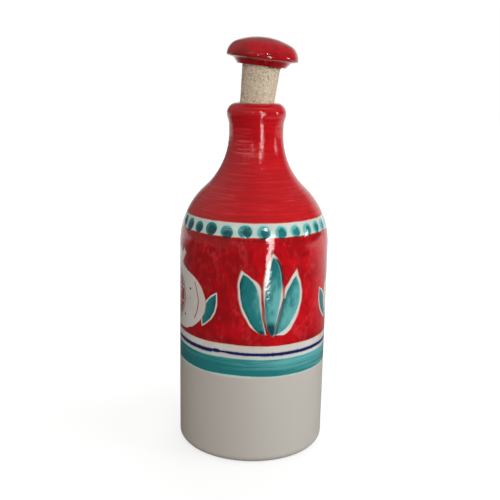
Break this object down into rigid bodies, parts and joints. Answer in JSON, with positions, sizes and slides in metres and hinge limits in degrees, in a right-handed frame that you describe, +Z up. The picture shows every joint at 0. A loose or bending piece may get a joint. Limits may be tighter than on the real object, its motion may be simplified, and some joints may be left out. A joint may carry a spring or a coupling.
{
  "type": "ceramic oil and vinegar bottle",
  "caption": "Hand-thrown ceramic bottle for oil or vinegar, hollow, with a rounded lip, a foot ring and a leaning cork stopper under a mushroom knob.",
  "frame": {"origin": "middle of the foot, on the plane that the bottle stands on", "axes": "+Z up along the bottle's axis; the stopper leans towards +X; the painted front faces -Y"},
  "size_m": [0.09, 0.09, 0.2457],
  "materials": {
    "glazed_earthenware": "gloss glaze, hand painted in red, cream and teal",
    "agglomerated_cork": "matt cork",
    "glazed_knob": "gloss red glaze"
  },
  "bodies": {
    "root": {"bottle": "glazed_earthenware", "cork": "agglomerated_cork", "stopper_knob": "glazed_knob"}
  },
  "joints": []
}
